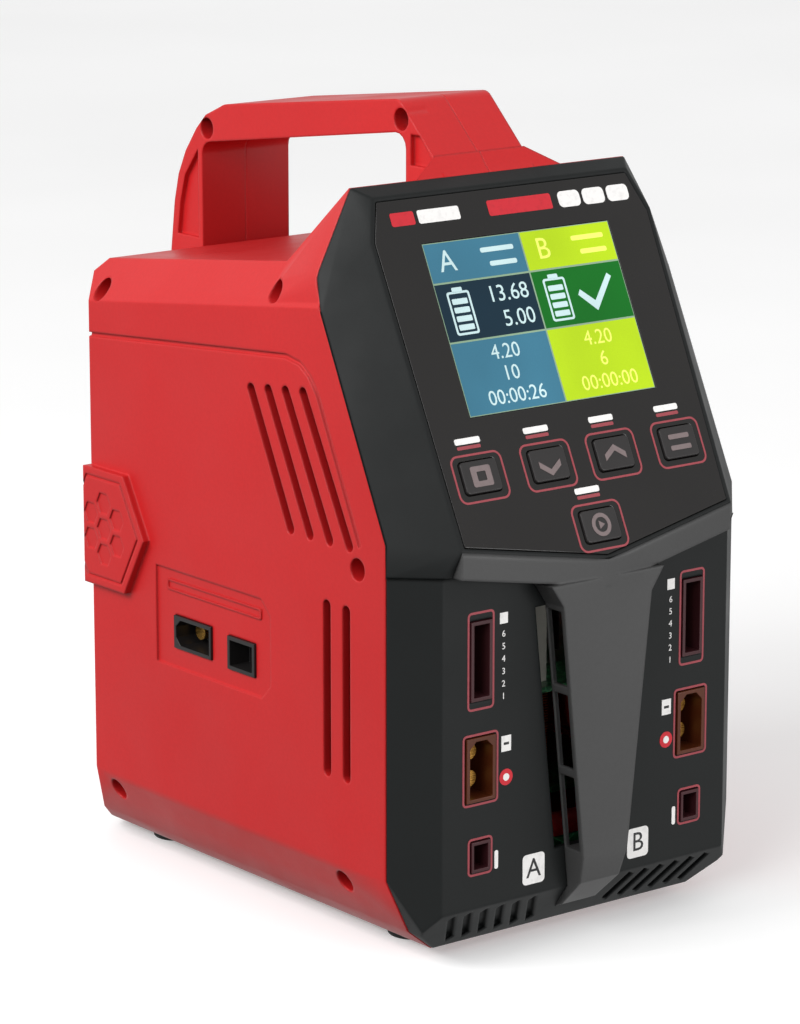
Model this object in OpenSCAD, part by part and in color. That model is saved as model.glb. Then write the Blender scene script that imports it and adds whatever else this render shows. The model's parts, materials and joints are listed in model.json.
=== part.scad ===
// Twin-channel balance battery charger: two side shells that carry half of the handle each,
// a dark front bezel with a tilted display panel, and the boards, fan and sockets inside.
// Millimetres, +Z up. The user stands on the -Y side. Drawn with y = 0 on the lower front panel,
// then moved so that the origin is under the middle of the case, on the surface it stands on.

/* [Case] */
// Width across the two side faces
case_w = 117.6; // [114:0.2:120]
// Distance from the lower front panel to the rear face
case_depth = 165.5; // [162:0.5:170]
// Height of the top deck at its rear edge
deck_rear_z = 166.8; // [165:0.1:168]
// Fall of the top deck towards the rear, degrees
deck_tilt = 7; // [6.5:0.1:7.5]
// Thickness of the side shells
wall = 2.6; // [2:0.1:3]
// Height of the rubber feet under the case
foot_h = 3; // [2:0.1:4]

/* [Front] */
// Backward tilt of the display panel, degrees
panel_tilt = 25.5; // [24:0.1:27]
// Width of the visible picture on the display
screen_w = 62.6; // [60:0.1:64]
// Height of the visible picture on the display
screen_h = 46.3; // [44:0.1:48]
// Travel of each key
key_travel = 0.8; // [0.4:0.1:1]
// Distance of the battery sockets from the middle plane
socket_x = 36; // [35:0.1:37]
// Height of the balance sockets
balance_z = 81; // [80:0.5:82]
// Height of the main output sockets
output_z = 52.3; // [51:0.1:54]
// Height of the sensor sockets
sensor_z = 29; // [28:0.5:30]

/* [Handle] */
// Width of the handle's grip
handle_w = 30; // [28:0.5:32]
// Height of the grip's top at its front end
grip_front_z = 216.4; // [214:0.2:217]

/* [Fan] */
// Side of the square fan frame
fan_size = 80; // [76:1:80]
// Thickness of the fan
fan_depth = 25; // [20:1:25]

/* [Hidden] */
$fn = 48;
slice = 0.05;
far = 400;

half_w = case_w / 2;
panel_y = -7.75;
inlet_flange = 2.4;
screw_head_h = 1.8;
mid_y = (case_depth + inlet_flange + screw_head_h + panel_y) / 2;
base_z = foot_h;
// the top deck ends at this distance from the front, where the rear top chamfer starts
deck_rear_y = 144.4;
deck_half_w = 50;
// height lost by the chamfer between deck and side face
deck_chamfer = 10.7;
rear_low_r = 10;
rear_corner = 23.5;
// where the red shells stop and the dark front bezel starts, seen from the side
seam_y = 10.4;
// Where the two front bevels meet the case's sides
bevel_y = 9.6;
// How far the bezel's lower part stands back from the case's faces
bezel_step = 0.15;
seam_top_y = 41.3;
seam = [[seam_y, 112.5], [37.1, 168], [seam_top_y, 176]];
hood_z = 198;
hood_half_w = 46;
// where the sloping back of the hood lands on the deck
hood_foot_y = 63.5;
panel_z = 103.7;
// outline of the display panel: across and up its slope, from its lowest point
panel_outline = [
    [0, 0], [45.5, 8.6], [46.9, 90.4], [42.7, 102], [-42.7, 102], [-46.9, 90.4], [-45.5, 8.6]
];
fascia_t = 1.8;
fascia_rim = 1.1;
bezel_wall = 2.5;
screen_s = 65.3;
key_row_s = 26.8;
start_s = 9;
// centre of each key on the panel: across, up the slope
key_spots = [[-33.5, key_row_s], [-11, key_row_s], [11, key_row_s], [33.5, key_row_s], [0, start_s]];
key_size = [11.6, 8.4];
key_flange = 1;
key_stand = 0.7;
// depth of the switch plungers' tops behind the panel's face
plunger_n = -(fascia_t + key_flange + 2 + key_travel + 0.2);
board_t = 1.6;
// screw positions on the side faces: distance from the front, height
case_screw_spots = [[138.5, 159.5], [58.8, 170.2], [21.8, 104], [31, 18.4], [135, 18.4]];
handle_screw_spots = [[147, 199.3], [59.6, 211]];
screw_r = 1.5;
screw_bore_r = 1.7;
screw_pilot_r = 1.3;
screw_head_r = 2.6;
recess_r = 3;
boss_r = 4.6;
// screw heads sit this far from the middle plane, in the left shell
head_x = 12;
shank_end = 8;
fan_r = 38;
fan_y = 112;
fan_z = 102;
grille_r = 37;
inlet_z = 36;
power_board_z = 27;
charge_board_z = 60;
port_board_y = 13.4;
hexagon_r = 19;
hexagon_at = [133.3, 94];
hexagon_relief = 2.2;

red = [0.78, 0.16, 0.16];
black = [0.13, 0.13, 0.14];
grey = [0.32, 0.32, 0.33];
gold = [0.85, 0.66, 0.3];
board_green = [0.08, 0.32, 0.16];
steel = [0.75, 0.75, 0.77];

function deck_z(y) = deck_rear_z + (deck_rear_y - y) * tan(deck_tilt);

// A closed outline, counter-clockwise, with every edge moved inwards by t
function edge_line(a, b, t) = let (d = b - a) [a + [-d[1], d[0]] * t / norm(d), d];
function meet(p, q) = p[0] + p[1] * cross(q[0] - p[0], q[1]) / cross(p[1], q[1]);
function inset(pts, t) = let (n = len(pts)) [
    for (i = [0 : n - 1])
        meet(edge_line(pts[(i + n - 1) % n], pts[i], t), edge_line(pts[i], pts[(i + 1) % n], t))
];
function arc(c, r, a0, a1, n = 6) = [
    for (i = [0 : n]) c + r * [cos(a0 + (a1 - a0) * i / n), sin(a0 + (a1 - a0) * i / n)]
];

// Outlines of the case: from the side (y, z), from above (x, y), and two cross-sections (x, z)
side_outline = concat(
    [[9.4, base_z]],
    arc([case_depth - rear_low_r, base_z + rear_low_r], rear_low_r, -90, 0, 4),
    [
        [case_depth, deck_rear_z - (case_depth - deck_rear_y)], [deck_rear_y, deck_rear_z],
        [0, deck_z(0)], [0, base_z + 12]
    ]
);
plan_outline = [
    [-48.4, 0], [48.4, 0], [half_w, bevel_y], [half_w, case_depth - rear_corner],
    [half_w - rear_corner, case_depth], [rear_corner - half_w, case_depth],
    [-half_w, case_depth - rear_corner], [-half_w, bevel_y]
];
roof_outline = [
    [-half_w, -far / 2], [half_w, -far / 2], [half_w, -deck_chamfer], [deck_half_w, 0],
    [-deck_half_w, 0], [-half_w, -deck_chamfer]
];
sill_outline = [
    [-44, base_z], [44, base_z], [51.5, base_z + 6], [half_w, base_z + 21],
    [half_w, far], [-half_w, far], [-half_w, base_z + 21], [-51.5, base_z + 6]
];
hood_outline = [
    [0.6 - half_w, 150], [half_w - 0.6, 150], [half_w - 0.6, 168], [57.4, 174],
    [56, 178], [hood_half_w, hood_z], [-hood_half_w, hood_z], [-56, 178], [-57.4, 174],
    [0.6 - half_w, 168]
];

module placed() {
    translate([0, -mid_y, 0]) children();
}

// Stands a flat (x, z) drawing up and extrudes it along y, from y0 to y1
module along_y(y0, y1) {
    translate([0, y1, 0]) rotate([90, 0, 0]) linear_extrude(y1 - y0) children();
}

// Stands a flat (y, z) drawing up and extrudes it along x, from x0 to x1
module along_x(x0, x1) {
    translate([x0, 0, 0]) rotate([90, 0, 90]) linear_extrude(x1 - x0) children();
}

// Puts children on the display panel: x across, y up the slope, z out of the face
module on_panel() {
    translate([0, panel_y, panel_z]) rotate([90 - panel_tilt, 0, 0]) children();
}

module rounded_rect(size, r) {
    x = size[0] / 2 - r;
    y = size[1] / 2 - r;
    polygon(concat(
        arc([x, y], r, 0, 90), arc([-x, y], r, 90, 180),
        arc([-x, -y], r, 180, 270), arc([x, -y], r, 270, 360)
    ));
}

// The case below its deck, with every face moved inwards by t
module case_form(t) {
    intersection() {
        along_x(-far / 2, far / 2) polygon(inset(side_outline, t));
        linear_extrude(far) polygon(inset(plan_outline, t));
        along_y(-10, case_depth + 10) polygon(inset(sill_outline, t));
        translate([0, deck_rear_y, deck_rear_z]) rotate([-deck_tilt, 0, 0])
            along_y(-220, 60) polygon(inset(roof_outline, t));
    }
}

// The hood between bezel and deck, with its faces moved inwards by t; its lower edges lie in the case
module hood_form(t) {
    sink = 0.6;
    foot_z = deck_z(hood_foot_y) - sink - t;
    hull() {
        along_y(seam_top_y - 6, seam_top_y + 0.3) polygon(inset(hood_outline, t));
        along_y(hood_foot_y - t * 1.4, hood_foot_y - t * 1.4 + slice) polygon([
            [sink + t - half_w, 150], [half_w - t - sink, 150],
            [half_w - t - sink, foot_z - deck_chamfer], [deck_half_w - t, foot_z],
            [t - deck_half_w, foot_z], [sink + t - half_w, foot_z - deck_chamfer]
        ]);
    }
}

// Everything behind the seam between shells and bezel
module behind_seam() {
    along_x(-far / 2, far / 2) polygon(concat(
        [[seam_y, -10], [far, -10], [far, far], [seam_top_y, far]], [seam[2], seam[1], seam[0]]
    ));
}

// Outline of the grip and its two legs from the side
function grip_tilt_z(y) = grip_front_z - (y - 60) * tan(deck_tilt);
handle_outer = concat(
    [[40.6, hood_z - 0.6], [56, 160], [case_depth - 0.6, 140], [case_depth - 0.6, 163]],
    [[163, 177], [160.9, 185], [157.3, 192], [152, 198.8], [147.5, 203]],
    arc([136.5, grip_tilt_z(136.5) - 8], 8, 60, 83, 3),
    arc([62, grip_tilt_z(62) - 4], 4, 83, 137, 4)
);
handle_gap = concat(
    [[57.6, 120], [149.4, 120]],
    arc([145.4, 191.7], 4, 0, 83, 4),
    arc([61.6, 203.4], 4, 83, 180, 4)
);

module handle_outline() {
    difference() {
        polygon(handle_outer);
        polygon(handle_gap);
    }
}

// Handle with its flared foot on the hood; side pockets leave a rim round the grip
module handle_form() {
    pocket = 1.4;
    difference() {
        along_x(-handle_w / 2, handle_w / 2) handle_outline();
        for (side = [-1, 1]) translate([side * handle_w / 2, 0, 0]) {
            along_x(-pocket, pocket) polygon([[44.6, 199.4], [55.6, 199.4], [55.6, 207.5], [51.8, 207.5]]);
            along_x(-pocket, pocket) polygon([
                [151.4, 168], [161.6, 168], [160.2, 177], [157.8, 185], [151.4, 193]
            ]);
        }
    }
    hull() {
        along_y(seam_top_y, seam_top_y + slice) polygon([
            [-25, 190], [25, 190], [25, hood_z - 0.4], [-25, hood_z - 0.4]
        ]);
        along_y(57, 57 + slice) polygon([[-17, 182], [17, 182], [17, 184], [-17, 184]]);
        along_y(45.5, 45.5 + slice) polygon([[-15, 190], [15, 190], [15, 203], [-15, 203]]);
    }
}

module hexagon_form() {
    translate([half_w - 26, hexagon_at[0], hexagon_at[1]]) rotate([90, 0, 90])
        cylinder(h = 40, r = hexagon_r, $fn = 6);
}

// Parallel slot between two points of the side face, as a cutter
module side_slot(a, b, w) {
    d = b - a;
    angle = atan2(d[1], d[0]);
    along_x(half_w - 5, half_w + 5) translate(a) rotate(angle)
        translate([norm(d) / 2, 0]) rounded_rect([norm(d) + w, w], w / 2 - 0.01);
}

// Cooling slots of one side: four leaning ones above and two upright ones below
module side_vents() {
    for (i = [0 : 3])
        side_slot([67 - i * 7.5, 143.6 + i * 0.8], [50.2 - i * 8.3, 109.5], 3.2);
    for (y = [26.6, 34.8])
        side_slot([y, 48], [y, 92], 3.2);
}

// Flat strip of width w along an open path
function strip_side(path, h) = let (n = len(path), line = function (i) edge_line(path[i], path[i + 1], h)) [
    for (i = [0 : n - 1])
        i == 0 ? line(0)[0] : i == n - 1 ? line(n - 2)[0] + line(n - 2)[1] : meet(line(i - 1), line(i))
];
function reversed(list) = [for (i = [len(list) - 1 : -1 : 0]) list[i]];
function strip(path, w) = concat(strip_side(path, w / 2), reversed(strip_side(path, -w / 2)));

// Thin styling groove that follows the deck and turns down along the bezel
module side_groove() {
    depth = 0.7;
    path = [[163, 145.2], [52, 154.6], [46, 153.6], [41.8, 150.8], [38.4, 146.4], [21, 110]];
    difference() {
        along_x(half_w - 30, half_w + 5) polygon(strip(path, 1.2));
        case_form(depth);
    }
}

// Pillars for the screws that hold the two shells together, inside the right half
module boss_bar(spot, x0, x1, r) {
    translate([x0, spot[0], spot[1]]) rotate([0, 90, 0]) cylinder(h = x1 - x0, r = r);
}

// One half shell without its handle, on the +x side
module half_case() {
    intersection() {
        union() {
            difference() {
                union() {
                    case_form(0);
                    hood_form(0);
                    intersection() {
                        case_form(-hexagon_relief);
                        hexagon_form();
                    }
                }
                case_form(wall);
                hood_form(wall);
            }
            for (spot = case_screw_spots) intersection() {
                boss_bar(spot, 0, half_w, boss_r);
                case_form(0.3);
            }
            board_rails();
        }
        behind_seam();
        translate([0, -far / 2, 0]) cube([far, far, far]);
    }
}

// Ribs that hold the two boards at their edges
module board_rails() {
    for (z = [power_board_z, charge_board_z]) for (gap = [-1.9, board_t + 0.1])
        translate([53.5, 40, z + gap]) cube([half_w - 54.5, 62, 1.8]);
}

// Sunken border line and honeycomb on the hexagon's face
module hexagon_pattern() {
    depth = 0.4;
    pitch = 7.2;
    cell_r = 3.3;
    border = 0.8;
    difference() {
        translate([half_w - 26, hexagon_at[0], hexagon_at[1]]) rotate([90, 0, 90]) linear_extrude(40) {
            difference() {
                circle(r = hexagon_r - 2.4, $fn = 6);
                circle(r = hexagon_r - 2.4 - border, $fn = 6);
            }
            circle(r = cell_r, $fn = 6);
            for (i = [0 : 5]) rotate(i * 60 + 30) translate([pitch, 0]) rotate(30)
                circle(r = cell_r, $fn = 6);
        }
        case_form(depth - hexagon_relief);
    }
}

module shell_cutouts_both() {
    side_vents();
    side_groove();
    hexagon_pattern();
    // rear opening for the fan grille
    translate([0, case_depth - 10, fan_z]) rotate([-90, 0, 0]) cylinder(h = 20, r = grille_r);
    // rear opening for the mains inlet
    translate([0, case_depth, inlet_z]) cube([28.4, 20, 20.4], center = true);
}

module left_shell() {
    placed() color(red) difference() {
        mirror([1, 0, 0]) difference() {
            union() {
                half_case();
                intersection() {
                    difference() {
                        handle_form();
                        case_form(0.3);
                        hood_form(0.3);
                    }
                    cube([far, far, far]);
                }
            }
            shell_cutouts_both();
            for (spot = case_screw_spots) {
                boss_bar(spot, head_x, far, recess_r);
                boss_bar(spot, -1, head_x + 1, screw_bore_r);
            }
            for (spot = handle_screw_spots) {
                boss_bar(spot, head_x - 4, far, recess_r);
                boss_bar(spot, -1, head_x, screw_bore_r);
            }
            // shallow field round the input sockets, with its two sockets
            along_x(half_w - 0.6, half_w + 5) polygon([
                [111.5, 61], [111.5, 88], [63.5, 88], [59.5, 84], [59.5, 65], [63.5, 61]
            ]);
            translate([half_w, 94.7, 71]) cube([20, 17.2, 9.4], center = true);
            translate([half_w, 72.6, 70.4]) cube([20, 12.4, 9.4], center = true);
        }
    }
}

module right_shell() {
    placed() color(red) difference() {
        union() {
            half_case();
            intersection() {
                difference() {
                    handle_form();
                    case_form(0.3);
                    hood_form(0.3);
                }
                cube([far, far, far]);
            }
        }
        shell_cutouts_both();
        for (spot = concat(case_screw_spots, handle_screw_spots))
            boss_bar(spot, -1, shank_end + 3, screw_pilot_r);
    }
}

// Outer or inner form of the upper bezel between panel and seam
module bezel_hull(t, back) {
    start = back - 0.4;
    end = back + 2;
    hull() {
        on_panel() translate([0, 0, -t - slice]) linear_extrude(slice) polygon(inset(panel_outline, t));
        along_x(t - half_w, half_w - t) polygon([
            seam[0] + [end, 0], seam[1] + [end, 0], seam[1] + [start, 0], seam[0] + [start, 0]
        ]);
        along_y(seam_top_y + start, seam_top_y + end) polygon([
            [t - 57.4, 174], [57.4 - t, 174], [56 - t, 178], [hood_half_w - t, hood_z - t],
            [t - hood_half_w, hood_z - t], [t - 56, 178]
        ]);
        translate([0, 0, panel_z + 0.3 + t]) linear_extrude(slice) polygon([
            [t - 48.4, t], [48.4 - t, t], [half_w - t, bevel_y + t], [half_w - t, seam_y + end],
            [t - half_w, seam_y + end], [t - half_w, bevel_y + t]
        ]);
    }
}

module ahead_of_seam() {
    along_x(-far / 2, far / 2) polygon(concat(
        [[-40, -10], [seam_y, -10]], seam, [[seam_top_y, far], [-40, far]]
    ));
}

module bezel_outer() {
    intersection() {
        union() {
            bezel_hull(0, 0);
            intersection() {
                case_form(bezel_step);
                cube([far, far, 2 * (panel_z + 0.9)], center = true);
            }
        }
        ahead_of_seam();
    }
}

// Half-width of the central cowl at height z
function cowl_half(z) = 14.9 - 0.108 * (93 - z);
cowl_foot_z = 17;

module socket_cutouts() {
    for (side = [-1, 1]) {
        translate([side * socket_x, 0, balance_z]) cube([7.2, 30, 21.2], center = true);
        translate([side * socket_x, 0, output_z]) cube([9.8, 30, 17.4], center = true);
        translate([side * socket_x, 0, sensor_z]) cube([6.4, 30, 8.4], center = true);
    }
}

module front_bezel() {
    slots = 6;
    slot_depth = 1.5;
    gap = 3;
    placed() color(black) difference() {
        bezel_outer();
        bezel_hull(fascia_t + bezel_wall, 8);
        intersection() {
            case_form(bezel_wall);
            cube([far, far, 2 * 111], center = true);
        }
        // seat for the fascia, and openings behind it
        on_panel() {
            translate([0, 0, -fascia_t]) linear_extrude(10) polygon(inset(panel_outline, fascia_rim));
            translate([0, screen_s, 0]) cube([screen_w + 4, screen_h + 4, 20], center = true);
            for (spot = key_spots)
                translate([spot[0], spot[1], 0])
                    cube([key_size[0] + 2.8, key_size[1] + 2.8, 20], center = true);
        }
        socket_cutouts();
        // air opening behind the cowl, which shows as a dark gap along each side of it
        along_y(-5, 8) polygon([
            [-cowl_half(26) - gap, 26], [cowl_half(26) + gap, 26],
            [cowl_half(92) + gap, 92], [-cowl_half(92) - gap, 92]
        ]);
        // slanting recesses in the lower edge
        difference() {
            for (side = [-1, 1]) for (i = [0 : slots - 1])
                translate([side * (15 + i * 5.4), 5.4, base_z + 6.5]) rotate([0, side * 28, 0])
                    cube([2.2, 30, 9], center = true);
            case_form(bezel_step + slot_depth);
        }
    }
}

module display_fascia() {
    placed() color([0.06, 0.06, 0.07]) on_panel() difference() {
        translate([0, 0, -fascia_t + 0.02]) linear_extrude(fascia_t - 0.02)
            polygon(inset(panel_outline, fascia_rim + 0.12));
        translate([0, screen_s, 0]) cube([screen_w + 0.3, screen_h + 0.3, 10], center = true);
        for (spot = key_spots)
            translate([spot[0], spot[1], -5]) linear_extrude(10) rounded_rect(key_size + [0.5, 0.5], 1.2);
    }
}

// Grey cowl: a brow under the display panel and a hollow air duct down the middle
module centre_cowl() {
    duct_wall = 1.4;
    face_y = -7.6;
    foot_y = -5.4;
    duct_y = face_y + duct_wall;
    duct_low = 26;
    placed() color(grey) difference() {
        union() {
            for (side = [0, 1]) mirror([side, 0, 0]) intersection() {
                along_y(-9, -0.02) polygon([[0, 96.4], [45.8, 104.2], [45.5, 111.4], [0, 103.6]]);
                linear_extrude(far) polygon([
                    [-0.01, panel_y], [45.5, -4.05], [48.4, -0.02], [-0.01, -0.02]
                ]);
            }
            intersection() {
                along_y(-9, 9) polygon([
                    [-cowl_half(6), 6], [cowl_half(6), 6], [cowl_half(93), 93],
                    [19, 99], [-19, 99], [-cowl_half(93), 93]
                ]);
                along_x(-25, 25) polygon([
                    [-0.02, base_z + 12], [-0.02, 99], [face_y, 99], [face_y, duct_low - duct_wall],
                    [foot_y, cowl_foot_z], [3, 9], [seam_y - 4, base_z + 4.4]
                ]);
            }
        }
        bezel_outer();
        // air duct, open to the back
        along_y(duct_y, 1) polygon([
            [duct_wall - cowl_half(duct_low), duct_low], [cowl_half(duct_low) - duct_wall, duct_low],
            [cowl_half(92) - duct_wall, 92], [-cowl_half(92) + duct_wall, 92]
        ]);
        // three openings in each side of the duct
        for (z = [duct_low, 48.6, 71.2]) translate([-30, duct_y, z]) cube([60, 5.6, 20.4]);
    }
}

module rear_grille() {
    rings = 4;
    ring_w = 1.8;
    hub = 9;
    pitch = (grille_r - hub - 0.2) / (rings + 1);
    placed() color(black) translate([0, case_depth - wall, fan_z]) rotate([-90, 0, 0])
        linear_extrude(wall + 0.4) {
            circle(r = hub);
            for (i = [1 : rings + 1]) difference() {
                circle(r = hub + i * pitch);
                circle(r = hub + i * pitch - ring_w);
            }
            for (i = [0 : 5]) rotate(i * 60 + 30) translate([hub - 1, -1]) square([grille_r - hub - 0.6, 2]);
        }
}

module feet() {
    placed() color([0.1, 0.1, 0.1]) for (x = [-34, 34]) for (y = [30, 138])
        translate([x, y, 0]) cylinder(h = foot_h, r = 7);
}

// Pan-head screw along +x, its head's outer face at x = 0
module shell_screw(length) {
    rotate([0, 90, 0]) difference() {
        union() {
            cylinder(h = 2.2, r = screw_head_r);
            cylinder(h = 2.2 + length, r = screw_r - 0.25);
        }
        translate([0, 0, -1]) cylinder(h = 2.4, r = 1.3, $fn = 6);
    }
}

module case_screws() {
    placed() color(steel) for (spot = case_screw_spots)
        translate([-head_x - 2.2, spot[0], spot[1]]) shell_screw(head_x + shank_end);
}

module handle_screws() {
    placed() color(steel) for (spot = handle_screw_spots)
        translate([-head_x + 1.8, spot[0], spot[1]]) shell_screw(head_x - 4 + shank_end);
}

// Short screws that hold the port board to the bezel's back
module bezel_screws() {
    placed() color(steel) for (x = [-44, 44]) for (z = [38, 68])
        translate([x, port_board_y + board_t + 2, z]) rotate([90, 0, 0]) {
            cylinder(h = 2, r = screw_head_r);
            cylinder(h = 6, r = 1.2);
        }
}

module screen_window() {
    placed() color([0.2, 0.35, 0.45]) on_panel() translate([0, screen_s, -0.9])
        cube([screen_w + 0.1, screen_h + 0.1, 1.4], center = true);
}

module lcd_module() {
    placed() color([0.15, 0.2, 0.25]) on_panel() translate([0, screen_s, 0]) {
        translate([0, 0, -3.1]) cube([screen_w + 3.4, screen_h + 3.4, 2.4], center = true);
        translate([0, 0, -6.2]) cube([screen_w + 8, screen_h + 8, 3.4], center = true);
    }
}

// Key with its cap above the fascia, a flange below it and a stem to its switch
module panel_key(spot) {
    placed() on_panel() translate([spot[0], spot[1], 0]) {
        translate([0, 0, -fascia_t]) linear_extrude(fascia_t + key_stand) rounded_rect(key_size, 1);
        translate([0, 0, -fascia_t - key_flange / 2])
            cube([key_size[0] + 1.6, key_size[1] + 1.6, key_flange], center = true);
        translate([0, 0, -fascia_t - key_flange - 2]) cylinder(h = 2, r = 1.8);
    }
}

module stop_key() { color(grey) panel_key(key_spots[0]); }
module down_key() { color(grey) panel_key(key_spots[1]); }
module up_key() { color(grey) panel_key(key_spots[2]); }
module enter_key() { color(grey) panel_key(key_spots[3]); }
module start_key() { color(grey) panel_key(key_spots[4]); }

module key_board() {
    placed() color(board_green) on_panel() translate([0, 0, plunger_n - 5 - board_t]) linear_extrude(board_t)
        polygon([[-8, 3.5], [8, 3.5], [40, 15], [40, 34], [-40, 34], [-40, 15]]);
}

module key_switches() {
    placed() color([0.2, 0.2, 0.2]) on_panel() for (spot = key_spots)
        translate([spot[0], spot[1], plunger_n - 5]) {
            translate([0, 0, 1.75]) cube([6, 6, 3.5], center = true);
            cylinder(h = 5, r = 1.7);
        }
}

// Flat ribbon from the key board down to the charge board
module display_ribbon() {
    placed() color([0.85, 0.85, 0.8]) along_x(-10, 10) polygon([
        [17.2, 113], [17.2, 113.5], [29.2, 118.6], [29.2, charge_board_z + board_t],
        [28.7, charge_board_z + board_t], [28.7, 118]
    ]);
}

// Socket body on the front: a block with a hollow, its face just proud of the panel
module front_socket(side, z, outer, inner, depth) {
    placed() difference() {
        translate([side * socket_x, (port_board_y - 0.4) / 2, z])
            cube([outer[0], port_board_y + 0.4, outer[1]], center = true);
        translate([side * socket_x, 0, z]) cube([inner[0], 2 * depth, inner[1]], center = true);
    }
}

module balance_socket(side) {
    color([0.16, 0.14, 0.14]) front_socket(side, balance_z, [7, 21], [5, 19], 9);
}
module balance_socket_a() { balance_socket(-1); }
module balance_socket_b() { balance_socket(1); }

// Row of seven pins, one per cell tap
module balance_pins(side) {
    pins = 7;
    pitch = 2.5;
    placed() color(gold) for (i = [0 : pins - 1])
        translate([side * socket_x, 8.9, balance_z + (i - (pins - 1) / 2) * pitch])
            cube([0.64, 8.2, 0.64], center = true);
}
module balance_pins_a() { balance_pins(-1); }
module balance_pins_b() { balance_pins(1); }

// Two-pole output socket: oblong hollow with one end chamfered, for the keyed plug
module output_socket(side) {
    placed() color([0.2, 0.15, 0.08]) difference() {
        translate([side * socket_x, (port_board_y - 0.4) / 2, output_z])
            cube([9.6, port_board_y + 0.4, 17.2], center = true);
        translate([side * socket_x, 0, output_z]) along_y(-2, 9) polygon([
            [-3.7, -7.6], [3.7, -7.6], [3.7, 5.6], [1.7, 7.6], [-1.7, 7.6], [-3.7, 5.6]
        ]);
    }
}
module output_socket_a() { output_socket(-1); }
module output_socket_b() { output_socket(1); }

module output_pins(side) {
    placed() color(gold) for (dz = [-3.6, 3.6])
        translate([side * socket_x, 12.6, output_z + dz]) rotate([90, 0, 0]) cylinder(h = 8, r = 2.2);
}
module output_pins_a() { output_pins(-1); }
module output_pins_b() { output_pins(1); }

module sensor_socket(side) {
    color([0.16, 0.14, 0.14]) front_socket(side, sensor_z, [6.2, 8.2], [4.6, 6.4], 7);
}
module sensor_socket_a() { sensor_socket(-1); }
module sensor_socket_b() { sensor_socket(1); }

module port_board() {
    placed() color(board_green) difference() {
        translate([-46, port_board_y, 20]) cube([92, board_t, 74]);
        translate([-20, port_board_y - 5, 23]) cube([40, 20, 68]);
        for (x = [-44, 44]) for (z = [38, 68])
            translate([x, port_board_y - 5, z]) rotate([-90, 0, 0]) cylinder(h = 20, r = 1.4);
    }
}

// Leads from the port board's output terminals back to the charge board
module output_leads() {
    bend = 8;
    placed() color([0.7, 0.1, 0.1]) for (side = [-1, 1]) for (dx = [-3.5, 3.5])
        translate([side * 26 + dx, port_board_y + board_t, 44]) {
            rotate([-90, 0, 0]) cylinder(h = 10, r = 1.8, $fn = 24);
            translate([0, 10, bend]) rotate([0, 90, 0]) rotate([0, 0, -90]) mirror([1, 0, 0])
                rotate_extrude(angle = 90, $fn = 32) translate([bend, 0]) circle(r = 1.8, $fn = 24);
            translate([0, 10 + bend, bend]) cylinder(h = 8, r = 1.8, $fn = 24);
        }
}

// Two-pole input socket in the left side
module dc_input_socket() {
    placed() color([0.2, 0.15, 0.08]) difference() {
        translate([-half_w + 6.9, 94.7, 71]) cube([14, 17, 9.2], center = true);
        translate([-half_w - 2, 94.7, 71]) rotate([0, 0, 90]) along_y(-11, 1) polygon([
            [-7.6, -3.5], [5.6, -3.5], [7.6, -1.6], [7.6, 1.6], [5.6, 3.5], [-7.6, 3.5]
        ]);
    }
}

module dc_input_pins() {
    placed() color(gold) for (dy = [-3.6, 3.6])
        translate([-half_w + 5.2, 94.7 + dy, 71]) rotate([0, 90, 0]) cylinder(h = 8, r = 2.2);
}

module link_socket() {
    placed() color([0.1, 0.1, 0.1]) difference() {
        translate([-half_w + 5.9, 72.6, 70.4]) cube([12, 12.2, 9.2], center = true);
        translate([-half_w + 2, 72.6, 70.4]) cube([9, 10, 7], center = true);
    }
}

// Mains inlet with a hexagonal-ended hollow, a flange and three pins
module ac_inlet() {
    placed() color(black) translate([0, case_depth, inlet_z]) difference() {
        union() {
            along_y(-24, 0) square([28, 20], center = true);
            along_y(0.02, inlet_flange) rounded_rect([50, 24], 3);
        }
        along_y(-20, 5) polygon([[-12, -8.2], [12, -8.2], [12, 4.4], [8, 8.2], [-8, 8.2], [-12, 4.4]]);
        for (x = [-20, 20]) translate([x, -5, 0]) rotate([-90, 0, 0]) cylinder(h = 20, r = screw_bore_r);
    }
}

module ac_pins() {
    placed() color(steel) for (at = [[-7, -1.6], [7, -1.6], [0, 2]])
        translate([at[0], case_depth - 15, inlet_z + at[1]]) cube([2, 18, 4], center = true);
}

module inlet_screws() {
    placed() color(steel) for (x = [-20, 20])
        translate([x, case_depth + inlet_flange, inlet_z]) rotate([-90, 0, 0]) {
            cylinder(h = screw_head_h, r = screw_head_r);
            translate([0, 0, -8]) cylinder(h = 8, r = 1.25);
        }
}

module fuse() {
    placed() color([0.8, 0.78, 0.7]) translate([-36, 118, power_board_z + board_t + 3]) rotate([0, 90, 0]) {
        cylinder(h = 20, r = 2.6);
        for (z = [-0.4, 15.4]) translate([0, 0, z]) cylinder(h = 5, r = 3);
    }
}

module power_board() {
    placed() color(board_green) translate([-54.6, 36, power_board_z]) cube([109.2, 100, board_t]);
}

module charge_board() {
    placed() color(board_green) translate([-54.6, 24, charge_board_z]) cube([109.2, 84, board_t]);
}

// Finned block: a base with upright plates
module heatsink(x) {
    fins = 7;
    placed() color(steel) translate([x - 14, 42, charge_board_z + board_t]) {
        cube([28, 52, 3]);
        for (i = [0 : fins - 1]) translate([i * 26.6 / (fins - 1), 0, 3]) cube([1.4, 52, 20]);
    }
}
module heatsink_a() { heatsink(-22); }
module heatsink_b() { heatsink(22); }

module power_transistors() {
    placed() color([0.15, 0.15, 0.15]) for (x = [-22, 22]) for (i = [0 : 3])
        translate([x, 48 + i * 13, charge_board_z - 2.4]) cube([10, 9, 4.6], center = true);
}

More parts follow.
